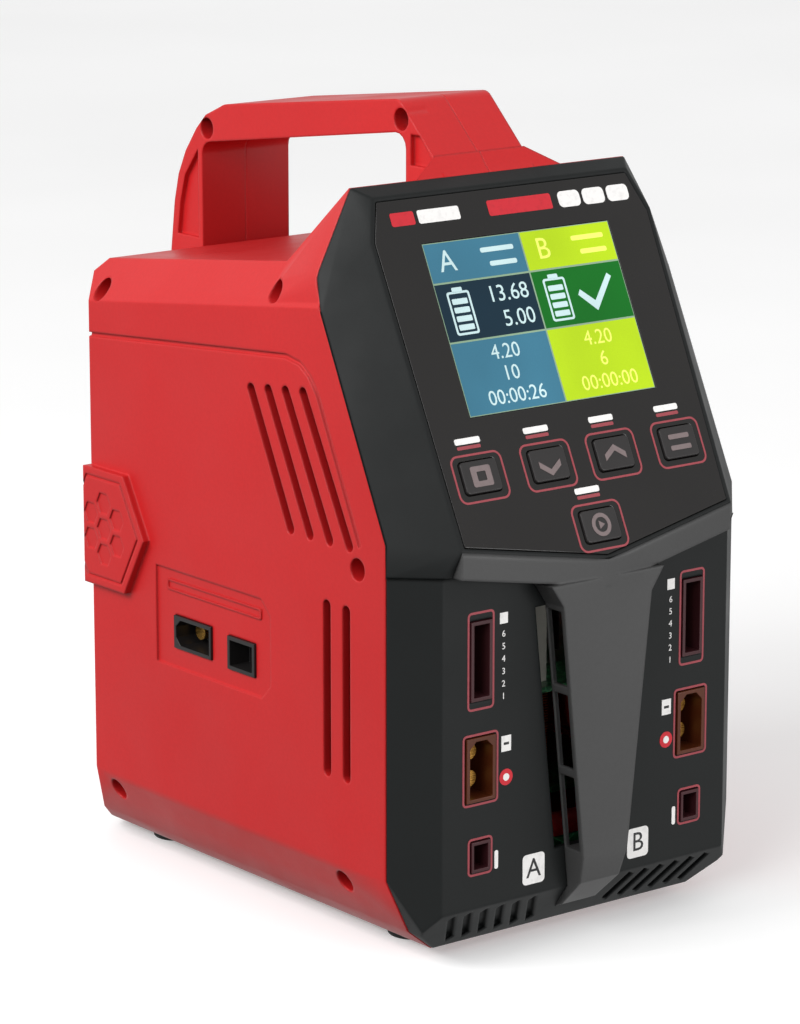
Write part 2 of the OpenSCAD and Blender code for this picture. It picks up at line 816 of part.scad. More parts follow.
module transformer() {
    placed() color([0.75, 0.7, 0.35]) translate([10, 62, power_board_z + board_t]) {
        translate([-17, -14, 0]) cube([34, 28, 6]);
        translate([0, 0, 6]) cylinder(h = 14, r = 11.4);
        translate([-17, -14, 20]) cube([34, 28, 6]);
        translate([-17, -14, 6]) cube([5, 28, 14]);
        translate([12, -14, 6]) cube([5, 28, 14]);
    }
}

module bulk_capacitors() {
    placed() color([0.12, 0.14, 0.3]) for (y = [50, 72])
        translate([-30, y, power_board_z + board_t]) cylinder(h = 26, r = 9.5);
}

module output_inductors() {
    placed() color([0.55, 0.35, 0.15]) for (x = [-44, 44]) for (y = [40, 57.6])
        translate([x, y, charge_board_z + board_t]) difference() {
            cylinder(h = 9, r = 7.6);
            translate([0, 0, -1]) cylinder(h = 12, r = 3.2);
        }
}

module line_choke() {
    placed() color([0.5, 0.3, 0.15]) translate([36, 100, power_board_z + board_t]) difference() {
        cylinder(h = 16, r = 12);
        translate([0, 0, -1]) cylinder(h = 20, r = 5);
    }
}

// The fan blows out through the rear grille
module fan_frame() {
    half = fan_size / 2;
    hub_r = 16;
    placed() color(black) translate([0, fan_y, fan_z]) {
        difference() {
            along_y(0, fan_depth) rounded_rect([fan_size, fan_size], 4);
            rotate([-90, 0, 0]) translate([0, 0, -1]) cylinder(h = fan_depth + 2, r = fan_r);
            for (x = [-1, 1]) for (z = [-1, 1]) translate([x * (half - 4.5), -1, z * (half - 4.5)])
                rotate([-90, 0, 0]) cylinder(h = fan_depth + 2, r = 2.1);
        }
        rotate([-90, 0, 0]) {
            cylinder(h = 3, r = hub_r);
            cylinder(h = fan_depth - 6, r = 2);
            for (i = [0 : 3]) rotate(i * 90 + 45) translate([hub_r - 1, -1.5, 0])
                cube([fan_r - hub_r + 2, 3, 3]);
        }
    }
}

module fan_rotor() {
    blades = 7;
    hub_r = 15.5;
    tip_r = fan_r - 1.2;
    placed() color([0.18, 0.18, 0.2]) translate([0, fan_y, fan_z]) rotate([-90, 0, 0]) {
        difference() {
            translate([0, 0, 4]) cylinder(h = fan_depth - 6, r = hub_r);
            translate([0, 0, 3]) cylinder(h = fan_depth - 8.5, r = 2.05);
        }
        for (i = [0 : blades - 1]) rotate(i * 360 / blades) translate([0, 0, fan_depth / 2 + 0.5])
            intersection() {
                rotate([38, 0, 0]) translate([hub_r - 1, -12, -0.8]) cube([tip_r, 24, 1.6]);
                translate([0, 0, -7]) cylinder(h = 14, r = tip_r);
            }
    }
}

module fan_screws() {
    at = fan_size / 2 - 4.5;
    placed() color(steel) for (x = [-1, 1]) for (z = [-1, 1])
        translate([x * at, fan_y - 2, fan_z + z * at]) rotate([-90, 0, 0]) {
            cylinder(h = 2, r = 3);
            cylinder(h = fan_depth + 4, r = 1.8);
        }
}

left_shell();
right_shell();
front_bezel();
display_fascia();
centre_cowl();
rear_grille();
feet();
case_screws();
handle_screws();
bezel_screws();
screen_window();
lcd_module();
stop_key();
down_key();
up_key();
enter_key();
start_key();
key_board();
key_switches();
display_ribbon();
balance_socket_a();
balance_socket_b();
balance_pins_a();
balance_pins_b();
output_socket_a();
output_socket_b();
output_pins_a();
output_pins_b();
sensor_socket_a();
sensor_socket_b();
port_board();
output_leads();
dc_input_socket();
dc_input_pins();
link_socket();
ac_inlet();
ac_pins();
inlet_screws();
fuse();
power_board();
charge_board();
heatsink_a();
heatsink_b();
power_transistors();
transformer();
bulk_capacitors();
output_inductors();
line_choke();
fan_frame();
fan_rotor();
fan_screws();
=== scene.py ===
"""Looks of the balance battery charger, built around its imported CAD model.

Lengths in the tables below are millimetres, measured in the CAD's drawing frame: x across, y back from
the lower front panel, z up. Everything is turned into metres and moved to the row frame by place().
"""
import json
import math

import bmesh
import bpy
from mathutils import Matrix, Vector


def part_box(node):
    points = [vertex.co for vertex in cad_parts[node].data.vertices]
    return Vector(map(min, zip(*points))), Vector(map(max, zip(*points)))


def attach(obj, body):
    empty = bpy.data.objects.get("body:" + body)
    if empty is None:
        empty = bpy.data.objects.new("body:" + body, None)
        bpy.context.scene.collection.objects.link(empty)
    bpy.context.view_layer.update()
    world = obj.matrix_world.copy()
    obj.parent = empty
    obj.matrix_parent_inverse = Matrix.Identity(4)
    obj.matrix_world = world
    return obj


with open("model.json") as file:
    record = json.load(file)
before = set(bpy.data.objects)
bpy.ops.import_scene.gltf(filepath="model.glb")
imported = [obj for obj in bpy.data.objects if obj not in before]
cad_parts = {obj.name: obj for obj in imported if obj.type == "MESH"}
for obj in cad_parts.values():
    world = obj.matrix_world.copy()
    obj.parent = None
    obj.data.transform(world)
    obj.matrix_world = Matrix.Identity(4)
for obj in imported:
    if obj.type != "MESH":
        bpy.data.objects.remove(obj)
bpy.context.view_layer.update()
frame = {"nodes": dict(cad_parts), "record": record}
NODES = frame["nodes"]
SLOT_OF = {s["node"]: s["material_slot"] for s in frame["record"]["subparts"]}

MM = 0.001
SEAM_Y = 10.4  # the side shells start this far behind the lower front panel
DATUM_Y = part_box("left_shell")[0].y - SEAM_Y * MM
HALF_W = 58.8
BEZEL_STEP = 0.15
PANEL_TILT = math.radians(25.5)
PANEL_FOOT = (0, -7.75, 103.7)
SOCKET_X = 36
BALANCE_Z = 81
OUTPUT_Z = 52.3
SENSOR_Z = 29
KEY_SPOTS = {
    "stop_key": (-33.5, 26.8), "down_key": (-11, 26.8), "up_key": (11, 26.8),
    "enter_key": (33.5, 26.8), "start_key": (0, 9),
}
KEY_TOP = 0.7
SCREEN_S = 65.3
SCREEN_W = 62.6
SCREEN_H = 46.3
GLASS_N = -0.2


# ---------------------------------------------------------------- flat faces that details lie on
class Face:
    """A flat face: its origin, the directions across and up it, and the direction out of it."""

    def __init__(self, origin, across, up):
        self.origin = Vector(origin)
        self.u = Vector(across).normalized()
        self.v = Vector(up).normalized()
        self.n = self.u.cross(self.v)

    def place(self, u, v, n):
        p = self.origin + self.u * u + self.v * v + self.n * n
        return Vector((p.x * MM, p.y * MM + DATUM_Y, p.z * MM))


FRONT = Face((0, BEZEL_STEP, 0), (1, 0, 0), (0, 0, 1))
PANEL = Face(PANEL_FOOT, (1, 0, 0), (0, math.sin(PANEL_TILT), math.cos(PANEL_TILT)))
LEFT = Face((-HALF_W, 0, 0), (0, -1, 0), (0, 0, 1))


def rect(w, h, u=0, v=0):
    corners = ((-1, -1), (1, -1), (1, 1), (-1, 1))
    return [(u + du * w / 2, v + dv * h / 2) for du, dv in corners]


def rounded(w, h, r, u=0, v=0):
    """Outline of a rectangle with rounded corners."""
    steps = 6
    points = []
    for du, dv, start in ((1, 1, 0), (-1, 1, 90), (-1, -1, 180), (1, -1, 270)):
        centre_u = u + du * (w / 2 - r)
        centre_v = v + dv * (h / 2 - r)
        for i in range(steps + 1):
            a = math.radians(start + 90 * i / steps)
            points.append((centre_u + r * math.cos(a), centre_v + r * math.sin(a)))
    return points


def circle(r, u=0, v=0, steps=32):
    angles = [math.tau * i / steps for i in range(steps)]
    return [(u + r * math.cos(a), v + r * math.sin(a)) for a in angles]


class Piece:
    """One visible piece made of closed solids that lie on a face."""

    def __init__(self, face):
        self.face = face
        self.verts = []
        self.faces = []

    def _layer(self, points, n):
        first = len(self.verts)
        self.verts += [self.face.place(u, v, n) for u, v in points]
        return [first + i for i in range(len(points))]

    def prism(self, points, n0, n1):
        low, high = self._layer(points, n0), self._layer(points, n1)
        self.faces.append(high)
        self.faces.append(low[::-1])
        self._walls(low, high)

    def _walls(self, low, high):
        for i in range(len(low)):
            j = (i + 1) % len(low)
            self.faces.append([low[i], low[j], high[j], high[i]])

    def ring(self, outer, inner, n0, n1):
        a, b = self._layer(outer, n0), self._layer(outer, n1)
        c, d = self._layer(inner, n0), self._layer(inner, n1)
        self._walls(a, b)
        self._walls(d, c)
        self._walls(b, d)
        self._walls(c, a)

    def glyph(self, text, size, u, v, n0, n1, align="CENTER"):
        """Digits or a plain letter from Blender's own font, standing from n0 to n1."""
        half_depth = 0.5
        curve = bpy.data.curves.new("glyph", "FONT")
        curve.body = text
        curve.size = size
        curve.align_x = align
        curve.align_y = "CENTER"
        curve.resolution_u = 3
        curve.extrude = half_depth
        holder = bpy.data.objects.new("glyph", curve)
        bpy.context.scene.collection.objects.link(holder)
        bpy.context.view_layer.update()
        graph = bpy.context.evaluated_depsgraph_get()
        mesh = bpy.data.meshes.new_from_object(holder.evaluated_get(graph))
        bm = bmesh.new()
        bm.from_mesh(mesh)
        bmesh.ops.remove_doubles(bm, verts=bm.verts, dist=1e-4)
        first = len(self.verts)
        bm.verts.index_update()
        for vert in bm.verts:
            n = n0 + (vert.co.z + half_depth) * (n1 - n0)
            self.verts.append(self.face.place(u + vert.co.x, v + vert.co.y, n))
        self.faces += [[first + p.index for p in f.verts] for f in bm.faces]
        bm.free()
        bpy.data.objects.remove(holder)
        bpy.data.curves.remove(curve)
        bpy.data.meshes.remove(mesh)

    def build(self, name, body, material):
        mesh = bpy.data.meshes.new(name)
        mesh.from_pydata(self.verts, [], self.faces)
        mesh.validate()
        mesh.update()
        mesh.materials.append(material)
        obj = bpy.data.objects.new(name, mesh)
        bpy.context.scene.collection.objects.link(obj)
        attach(obj, body)


# ---------------------------------------------------------------- materials
def srgb(r, g, b):
    def linear(c):
        c /= 255
        return c / 12.92 if c <= 0.04045 else ((c + 0.055) / 1.055) ** 2.4
    return (linear(r), linear(g), linear(b), 1)


def scaled(colour, k):
    return tuple(min(c * k, 1) for c in colour[:3]) + (1,)


class Look:
    """A node material on the Principled shader, with short ways to add detail to it."""

    def __init__(self, name, **sockets):
        self.material = bpy.data.materials.new(name)
        self.material.use_nodes = True
        self.tree = self.material.node_tree
        self.shader = self.tree.nodes["Principled BSDF"]
        for key, value in sockets.items():
            self.shader.inputs[key.replace("_", " ")].default_value = value
        self.coords = self.tree.nodes.new("ShaderNodeTexCoord").outputs["Object"]
        self.normal = None

    def node(self, kind, **values):
        made = self.tree.nodes.new(kind)
        for key, value in values.items():
            if hasattr(made, key):
                setattr(made, key, value)
            else:
                made.inputs[key.replace("_", " ")].default_value = value
        return made

    def link(self, a, b):
        self.tree.links.new(a, b)

    def noise(self, scale, detail=3, roughness=0.55, stretch=None):
        made = self.node("ShaderNodeTexNoise", Scale=scale, Detail=detail, Roughness=roughness)
        source = self.coords
        if stretch:
            mapping = self.node("ShaderNodeMapping")
            mapping.inputs["Scale"].default_value = stretch
            self.link(source, mapping.inputs["Vector"])
            source = mapping.outputs["Vector"]
        self.link(source, made.inputs["Vector"])
        return made.outputs["Fac"]

    def cells(self, scale, feature="F1"):
        made = self.node("ShaderNodeTexVoronoi", feature=feature, Scale=scale)
        self.link(self.coords, made.inputs["Vector"])
        return made.outputs["Distance"]

    def spread(self, fac, low, high, start=0.3, end=0.7):
        """Maps the range start to end onto low to high."""
        made = self.node("ShaderNodeMapRange")
        for key, value in (("From Min", start), ("From Max", end), ("To Min", low), ("To Max", high)):
            made.inputs[key].default_value = value
        self.link(fac, made.inputs["Value"])
        return made.outputs["Result"]

    def mix(self, fac, a, b):
        """Blend of two colours: the node's inputs 6 and 7, and its output 2, are the colour ones."""
        made = self.node("ShaderNodeMix", data_type="RGBA")
        sockets = [made.inputs["Factor"], made.inputs[6], made.inputs[7]]
        for socket, value in zip(sockets, (fac, a, b)):
            if isinstance(value, (tuple, float, int)):
                socket.default_value = value
            else:
                self.link(value, socket)
        return made.outputs[2]

    def colour(self, socket):
        self.link(socket, self.shader.inputs["Base Color"])

    def roughness(self, fac, low, high):
        self.link(self.spread(fac, low, high), self.shader.inputs["Roughness"])

    def bump(self, fac, depth):
        """Adds relief of the given depth in metres."""
        made = self.node("ShaderNodeBump", Distance=depth)
        made.inputs["Strength"].default_value = 1
        self.link(fac, made.inputs["Height"])
        if self.normal is not None:
            self.link(self.normal, made.inputs["Normal"])
        self._set_normal(made.outputs["Normal"])

    def soften(self, radius):
        """Light rolls over the edges as if they were rounded by the radius; called before any bump."""
        self._set_normal(self.node("ShaderNodeBevel", samples=6, Radius=radius).outputs["Normal"])

    def _set_normal(self, socket):
        self.normal = socket
        self.link(socket, self.shader.inputs["Normal"])

    def edges(self, radius):
        """1 along edges, where the painted edge highlight is put; 0 on flat faces."""
        bevel = self.node("ShaderNodeBevel", samples=4, Radius=radius)
        geometry = self.node("ShaderNodeNewGeometry")
        dot = self.node("ShaderNodeVectorMath", operation="DOT_PRODUCT")
        self.link(bevel.outputs["Normal"], dot.inputs[0])
        self.link(geometry.outputs["Normal"], dot.inputs[1])
        return self.spread(dot.outputs["Value"], 1, 0, 0.9, 0.995)


def moulded(name, colour, rough, grain, depth=0.00002, vary=0.12, edge=0.0, shine=0.3, soft=0.0):
    """Injection-moulded plastic: fine eroded grain, soft colour drift, and a painted highlight that
    makes the edges slightly paler.
    """
    edge_highlight_radius = 0.0007
    look = Look(name, Specular_IOR_Level=shine)
    if soft:
        look.soften(soft)
    drift = look.spread(look.noise(9, 2), 0, 1)
    base = look.mix(drift, scaled(colour, 1 - vary), scaled(colour, 1 + vary))
    specks = look.spread(look.noise(grain, 2), 0, 1, 0.35, 0.65)
    base = look.mix(look.spread(specks, 0, 0.18, 0, 1), base, scaled(colour, 0.72))
    # Painted highlight: the colour is lightened along the edges to stand in for light catching them.
    if edge:
        highlight_breakup = look.spread(look.noise(60, 3), 0.2, 1)
        painted_highlight = look.node("ShaderNodeMath", operation="MULTIPLY")
        look.link(look.edges(edge_highlight_radius), painted_highlight.inputs[0])
        look.link(highlight_breakup, painted_highlight.inputs[1])
        base = look.mix(look.spread(painted_highlight.outputs[0], 0, edge, 0, 1), base, scaled(colour, 1.9))
    look.colour(base)
    look.roughness(look.noise(40, 4), rough - 0.06, rough + 0.08)
    look.bump(look.noise(grain, 2), depth)
    look.bump(look.noise(25, 2), depth * 2)
    return look.material


def glossy(name, colour, rough=0.16, coat=0.6):
    """Polished dark plastic with a faint haze, dust and long soft waves."""
    look = Look(name, Coat_Weight=coat, Coat_Roughness=0.06, Specular_IOR_Level=0.25)
    drift = look.spread(look.noise(14, 3), 0, 1)
    look.colour(look.mix(drift, scaled(colour, 0.82), scaled(colour, 1.2)))
    dust = look.spread(look.noise(1400, 1), 0, 0.12, 0.62, 0.8)
    haze = look.spread(look.noise(22, 4), rough - 0.04, rough + 0.08)
    total = look.node("ShaderNodeMath", operation="ADD")
    look.link(dust, total.inputs[0])
    look.link(haze, total.inputs[1])
    look.link(total.outputs[0], look.shader.inputs["Roughness"])
    look.bump(look.noise(18, 2), 0.00004)
    return look.material


def metal(name, colour, rough=0.28, stretch=(1, 1, 40)):
    """Machined or plated metal with fine drawn lines and some tarnish."""
    grain = 300
    look = Look(name, Metallic=1.0)
    tarnish = look.spread(look.noise(180, 4), 0, 1, 0.45, 0.75)
    look.colour(look.mix(tarnish, colour, scaled(colour, 0.6)))
    look.roughness(look.noise(grain, 3, stretch=stretch), rough - 0.08, rough + 0.14)
    look.bump(look.noise(grain, 3, stretch=stretch), 0.00001)
    return look.material


def printed(name, colour):
    """Pad-printed ink: slightly uneven cover, with tiny pinholes."""
    look = Look(name, Specular_IOR_Level=0.4)
    thin = look.spread(look.noise(700, 2), 0, 0.35, 0.5, 0.75)
    look.colour(look.mix(thin, colour, scaled(colour, 0.62)))
    look.roughness(look.noise(300, 2), 0.34, 0.54)
    look.bump(look.noise(900, 2), 0.00001)
    return look.material


def lit(name, colour, strength):
    """A lit part of the display: its own light with a soft uneven backlight, under a clear face."""
    drift = 0.12
    dot_scale = 2600
    look = Look(name, Roughness=0.35, Coat_Weight=0.1, Coat_Roughness=0.1, Specular_IOR_Level=0.15)
    cloud = look.spread(look.noise(30, 2), 0, 1)
    tone = look.mix(cloud, scaled(colour, 1 - drift), scaled(colour, 1 + drift))
    dots = look.spread(look.cells(dot_scale), 0, 1, 0.1, 0.6)
    tone = look.mix(look.spread(dots, 0, 0.12, 0, 1), tone, scaled(colour, 0.7))
    look.colour(tone)
    look.link(tone, look.shader.inputs["Emission Color"])
    look.shader.inputs["Emission Strength"].default_value = strength
    look.bump(look.cells(dot_scale), 0.000004)
    return look.material


def board(name):
    """Green solder mask with copper tracks showing through as paler lines."""
    look = Look(name, Coat_Weight=0.4, Coat_Roughness=0.2)
    tracks = look.spread(look.cells(220, "DISTANCE_TO_EDGE"), 1, 0, 0.02, 0.05)
    green = look.mix(look.spread(look.noise(30), 0, 1), srgb(14, 62, 34), srgb(20, 86, 48))
    look.colour(look.mix(tracks, green, srgb(60, 130, 84)))
    look.roughness(look.noise(120), 0.3, 0.45)
    look.bump(tracks, 0.00003)
    return look.material


def windings(name):
    """Enamelled copper wire laid side by side."""
    look = Look(name, Metallic=0.9)
    wave = look.node("ShaderNodeTexWave", bands_direction="Z", Scale=420.0, Distortion=0.4)
    look.link(look.coords, wave.inputs["Vector"])
    turns = look.spread(wave.outputs["Fac"], 0, 1, 0.1, 0.9)
    look.colour(look.mix(turns, srgb(96, 42, 16), srgb(196, 104, 52)))
    look.roughness(look.noise(90), 0.25, 0.4)
    look.bump(wave.outputs["Fac"], 0.0001)
    return look.material


def clear_window(name):
    """The display's dark clear cover."""
    look = Look(name, Coat_Weight=1.0, Coat_Roughness=0.03, IOR=1.49)
    look.colour(look.mix(look.spread(look.noise(12), 0, 1), srgb(10, 12, 16), srgb(18, 22, 28)))
    look.roughness(look.noise(30, 3), 0.05, 0.12)
    return look.material


RED = srgb(186, 28, 30)
BLACK = srgb(22, 24, 24)
GREY = srgb(64, 64, 64)
WHITE = srgb(236, 234, 232)
PINK = srgb(150, 62, 70)

LOOKS = {
    "red_shell": moulded("red_shell", RED, 0.42, 1100, 0.000018, vary=0.06, edge=0.18, soft=0.001),
    "black_case": moulded("black_case", BLACK, 0.5, 1000, 0.00002, edge=0.5, shine=0.16, soft=0.001),
    "grey_case": moulded("grey_case", GREY, 0.42, 1000, 0.00002, edge=0.35, soft=0.001),
    "fascia_gloss": glossy("fascia_gloss", srgb(22, 20, 19), coat=0.25),
    "rubber_foot": moulded("rubber_foot", srgb(26, 26, 26), 0.8, 500, 0.00005),
    "screw_steel": metal("screw_steel", srgb(120, 120, 124)),
    "screen_glass": clear_window("screen_glass"),
    "lcd_panel": glossy("lcd_panel", srgb(40, 44, 50)),
    "key_grey": moulded("key_grey", srgb(40, 38, 38), 0.4, 1300, 0.00001, edge=0.3),
    "circuit_board": board("circuit_board"),
    "ribbon_plastic": moulded("ribbon_plastic", srgb(190, 188, 178), 0.5, 700),
    "socket_black": moulded("socket_black", srgb(26, 24, 24), 0.38, 1200, 0.00001, edge=0.2),
    "gold_pin": metal("gold_pin", srgb(232, 178, 88), 0.24),
    "lead_red": moulded("lead_red", srgb(160, 22, 20), 0.5, 600),
    "fuse_ceramic": moulded("fuse_ceramic", srgb(214, 208, 196), 0.35, 800),
    "sink_aluminium": metal("sink_aluminium", srgb(180, 182, 186), 0.35, (1, 30, 1)),
    "winding_copper": windings("winding_copper"),
    "capacitor_sleeve": glossy("capacitor_sleeve", srgb(26, 30, 46), 0.25),
}
SOCKET_AMBER = moulded("socket_amber", srgb(78, 36, 16), 0.36, 1200, 0.00001, edge=0.2)
SOCKET_MAROON = moulded("socket_maroon", srgb(58, 26, 30), 0.4, 1200, 0.00001, edge=0.2)
NODE_LOOKS = {
    "output_socket_a": SOCKET_AMBER, "output_socket_b": SOCKET_AMBER,
    "balance_socket_a": SOCKET_MAROON, "balance_socket_b": SOCKET_MAROON,
    "sensor_socket_a": SOCKET_MAROON, "sensor_socket_b": SOCKET_MAROON,
}
PRINT_WHITE = printed("print_white", WHITE)
PRINT_DARK = printed("print_dark", srgb(24, 24, 26))
PRINT_RED = printed("print_red", srgb(196, 30, 44))
PRINT_PINK = printed("print_pink", PINK)
PRINT_GREY = printed("print_grey", srgb(118, 104, 104))

for node, obj in NODES.items():
    obj.data.materials.clear()
    obj.data.materials.append(NODE_LOOKS.get(node) or LOOKS[SLOT_OF[node]])


# ---------------------------------------------------------------- rounded edges on the CAD's own pieces
# node names, then the bevel's width in millimetres and its number of segments
ROUNDED = {
    ("left_shell", "right_shell"): (0.7, 3),
    ("front_bezel",): (0.4, 3),
    ("centre_cowl", "feet"): (0.6, 3),
    ("stop_key", "down_key", "up_key", "enter_key", "start_key"): (0.35, 3),
    ("ac_inlet", "fan_frame"): (0.4, 2),
    ("rear_grille",): (0.3, 2),
    ("display_fascia",): (0.25, 2),
    ("output_socket_a", "output_socket_b", "dc_input_socket", "fan_rotor", "inlet_screws"): (0.2, 2),
    ("balance_socket_a", "balance_socket_b", "sensor_socket_a", "sensor_socket_b"): (0.15, 2),
    ("link_socket", "case_screws", "handle_screws"): (0.15, 2),
}
EDGE_ANGLE = math.radians(28)


def round_edges(obj, width, segments, clamped):
    """Joins the CAD's triangles into flat faces, then rounds the edges between them."""
    weld = obj.modifiers.new("weld", "WELD")
    weld.merge_threshold = 1e-6
    flat = obj.modifiers.new("flat", "DECIMATE")
    flat.decimate_type = "DISSOLVE"
    flat.angle_limit = math.radians(0.5)
    bevel = obj.modifiers.new("bevel", "BEVEL")
    bevel.width = width * MM
    bevel.segments = segments
    bevel.limit_method = "ANGLE"
    bevel.angle_limit = EDGE_ANGLE
    bevel.use_clamp_overlap = clamped
    normals = obj.modifiers.new("normals", "WEIGHTED_NORMAL")
    normals.weight = 80
    obj.data.polygons.foreach_set("use_smooth", [True] * len(obj.data.polygons))


# the bevel on these nodes stops short where it would cross itself
CLAMPED = ("left_shell", "right_shell", "centre_cowl")
for nodes, (width, segments) in ROUNDED.items():
    for node in nodes:
        round_edges(NODES[node], width, segments, node in CLAMPED)


# ---------------------------------------------------------------- the display's picture
LEFT_U, MID_U, RIGHT_U = -SCREEN_W / 2, 0.7, SCREEN_W / 2
TOP_V, LOW_V = SCREEN_S + SCREEN_H / 2, SCREEN_S - SCREEN_H / 2
ROW_1 = TOP_V - 0.235 * SCREEN_H
ROW_2 = TOP_V - 0.575 * SCREEN_H
GAP = 0.25
CELL_N = (GLASS_N - 0.05, GLASS_N + 0.06)
INK_N = (GLASS_N, GLASS_N + 0.1)


def screen_piece(name, colour, strength, *cells):
    """Cells of one colour, each given as its left, right, low and top edge."""
    piece = Piece(PANEL)
    for u0, u1, v0, v1 in cells:
        outline = rect(u1 - u0 - 2 * GAP, v1 - v0 - 2 * GAP, (u0 + u1) / 2, (v0 + v1) / 2)
        piece.prism(outline, *CELL_N)
    piece.build(name, "case", lit(name, colour, strength))


screen_piece(
    "screen_blue", srgb(54, 106, 128), 0.27,
    (LEFT_U, MID_U, ROW_1, TOP_V), (LEFT_U, MID_U, LOW_V, ROW_2),
)
screen_piece("screen_navy", srgb(10, 36, 50), 0.3, (LEFT_U, MID_U, ROW_2, ROW_1))
screen_piece(
    "screen_lime", srgb(160, 190, 20), 0.35,
    (MID_U, RIGHT_U, ROW_1, TOP_V), (MID_U, RIGHT_U, LOW_V, ROW_2),
)
screen_piece("screen_green", srgb(4, 94, 22), 0.27, (MID_U, RIGHT_U, ROW_2, ROW_1))

backing = Piece(PANEL)
backing.prism(rect(SCREEN_W - 0.1, SCREEN_H - 0.1, 0, SCREEN_S), GLASS_N - 0.1, GLASS_N + 0.02)
backing.build("screen_lines", "case", lit("screen_lines", srgb(130, 156, 130), 0.2))


def battery(piece, u, v):
    """A battery sign: a case outline with a cap, and filled bars."""
    w, h, bars = 7.4, 11.6, 4
    piece.ring(rounded(w, h, 0.8, u, v), rounded(w - 1.2, h - 1.2, 0.4, u, v), *INK_N)
    piece.prism(rounded(w * 0.45, 1.3, 0.3, u, v + h / 2 + 0.4), *INK_N)
    for i in range(bars):
        piece.prism(rounded(w - 2.4, 1.5, 0.3, u, v - h / 2 + 2 + i * 2.3), *INK_N)


def screen_head(piece, letter, left_u, right_u):
    """Channel letter and two plain bars in the top row."""
    piece.glyph(letter, 8.2, left_u + 6.5, HEAD_V, *INK_N)
    for dv, length in ((1.9, 11), (-1.9, 9)):
        piece.prism(rounded(length, 1.3, 0.5, right_u - 3 - length / 2, HEAD_V + dv), *INK_N)


def screen_foot(piece, centre_u, texts):
    """Three rows of digits in the lowest row."""
    for dv, text in zip((5.8, 0, -6), texts):
        piece.glyph(text, 5.6, centre_u + 1, FOOT_V + dv, *INK_N)


HEAD_V, BODY_V, FOOT_V = (TOP_V + ROW_1) / 2, (ROW_1 + ROW_2) / 2, (ROW_2 + LOW_V) / 2
pale = Piece(PANEL)
screen_head(pale, "A", LEFT_U, MID_U)
battery(pale, LEFT_U + 7, BODY_V - 0.4)
pale.glyph("13.68", 6.2, MID_U - 2, BODY_V + 3.2, *INK_N, align="RIGHT")
pale.glyph("5.00", 6.2, MID_U - 2, BODY_V - 3.6, *INK_N, align="RIGHT")
screen_foot(pale, (LEFT_U + MID_U) / 2, ("4.20", "10", "00:00:26"))
battery(pale, MID_U + 7, BODY_V - 0.4)
tick_u, tick_v = MID_U + 19, BODY_V - 2.6
pale.prism([
    (tick_u - 5.2, tick_v + 2.6), (tick_u, tick_v - 2.2), (tick_u + 7.4, tick_v + 6.4),
    (tick_u + 6.2, tick_v + 7.4), (tick_u, tick_v + 0.5), (tick_u - 4.2, tick_v + 4),
], *INK_N)
pale.build("screen_digits", "case", lit("screen_digits", srgb(180, 204, 206), 0.3))

yellow = Piece(PANEL)
screen_head(yellow, "B", MID_U, RIGHT_U)
screen_foot(yellow, (MID_U + RIGHT_U) / 2, ("4.20", "6", "00:00:00"))
yellow_light = lit("screen_digits_b", srgb(216, 224, 100), 0.35)
yellow.build("screen_digits_b", "case", yellow_light)


# ---------------------------------------------------------------- marks on the display panel
PRINT_N = (-0.05, 0.08)

outlines = Piece(PANEL)
labels = Piece(PANEL)
for u, v in KEY_SPOTS.values():
    outer, inner = rounded(16.6, 12.8, 2.4, u, v - 0.2), rounded(15.5, 11.7, 1.9, u, v - 0.2)
    outlines.ring(outer, inner, *PRINT_N)
    outlines.prism(rounded(7.6, 0.9, 0.3, u - 1, v + 7.9), *PRINT_N)
    labels.prism(rounded(8.2, 1.6, 0.5, u - 1, v + 9.6), *PRINT_N)
outlines.build("key_outlines", "case", PRINT_PINK)
labels.build("key_labels", "case", PRINT_WHITE)

# Plain bars where a mark would be printed, above the display
BARS_V = 95.6
white_bars = Piece(PANEL)
white_bars.prism(rounded(13.6, 3.6, 0.6, -23.4, BARS_V), *PRINT_N)
for i in range(3):
    white_bars.prism(rounded(7.4, 4.4, 1.4, 20.4 + i * 8.4, BARS_V), *PRINT_N)
white_bars.build("panel_bars_white", "case", PRINT_WHITE)
red_bars = Piece(PANEL)
red_bars.prism(rounded(7.6, 3.6, 0.6, -35.2, BARS_V), *PRINT_N)
red_bars.prism(rounded(21.4, 4.2, 0.6, 3.6, BARS_V), *PRINT_N)
red_bars.build("panel_bars_red", "case", PRINT_RED)


# Signs on the keys: each rides on its own key
ICON_N = (KEY_TOP - 0.05, KEY_TOP + 0.12)


def chevron(piece, u, v, sign):
    """An arrow head that points up when the sign is 1 and down when it is -1."""
    half_w, half_h, thick = 3.5, 1.2, 1.7
    low = [(-half_w, -half_h), (0, half_h), (half_w, -half_h)]
    high = [(x, y + thick) for x, y in reversed(low)]
    outline = [(u + x, v + y * sign) for x, y in low + high]
    piece.prism(outline[::-sign], *ICON_N)


def key_sign(name):
    u, v = KEY_SPOTS[name]
    piece = Piece(PANEL)
    if name == "stop_key":
        piece.ring(rounded(6.4, 5.4, 0.6, u, v), rounded(2.9, 2.5, 0.3, u, v), *ICON_N)
    elif name == "down_key":
        chevron(piece, u, v - 0.2, -1)
    elif name == "up_key":
        chevron(piece, u, v - 0.6, 1)
    elif name == "enter_key":
        piece.prism(rounded(7, 1.3, 0.4, u, v + 1.5), *ICON_N)
        piece.prism(rounded(7, 1.3, 0.4, u, v - 1.5), *ICON_N)
    else:
        piece.ring(circle(3.1, u, v), circle(2, u, v), *ICON_N)
        piece.prism([(u - 0.7, v - 1.1), (u + 1.1, v), (u - 0.7, v + 1.1)], *ICON_N)
    piece.build(name + "_sign", name, PRINT_GREY)


for key in KEY_SPOTS:
    key_sign(key)


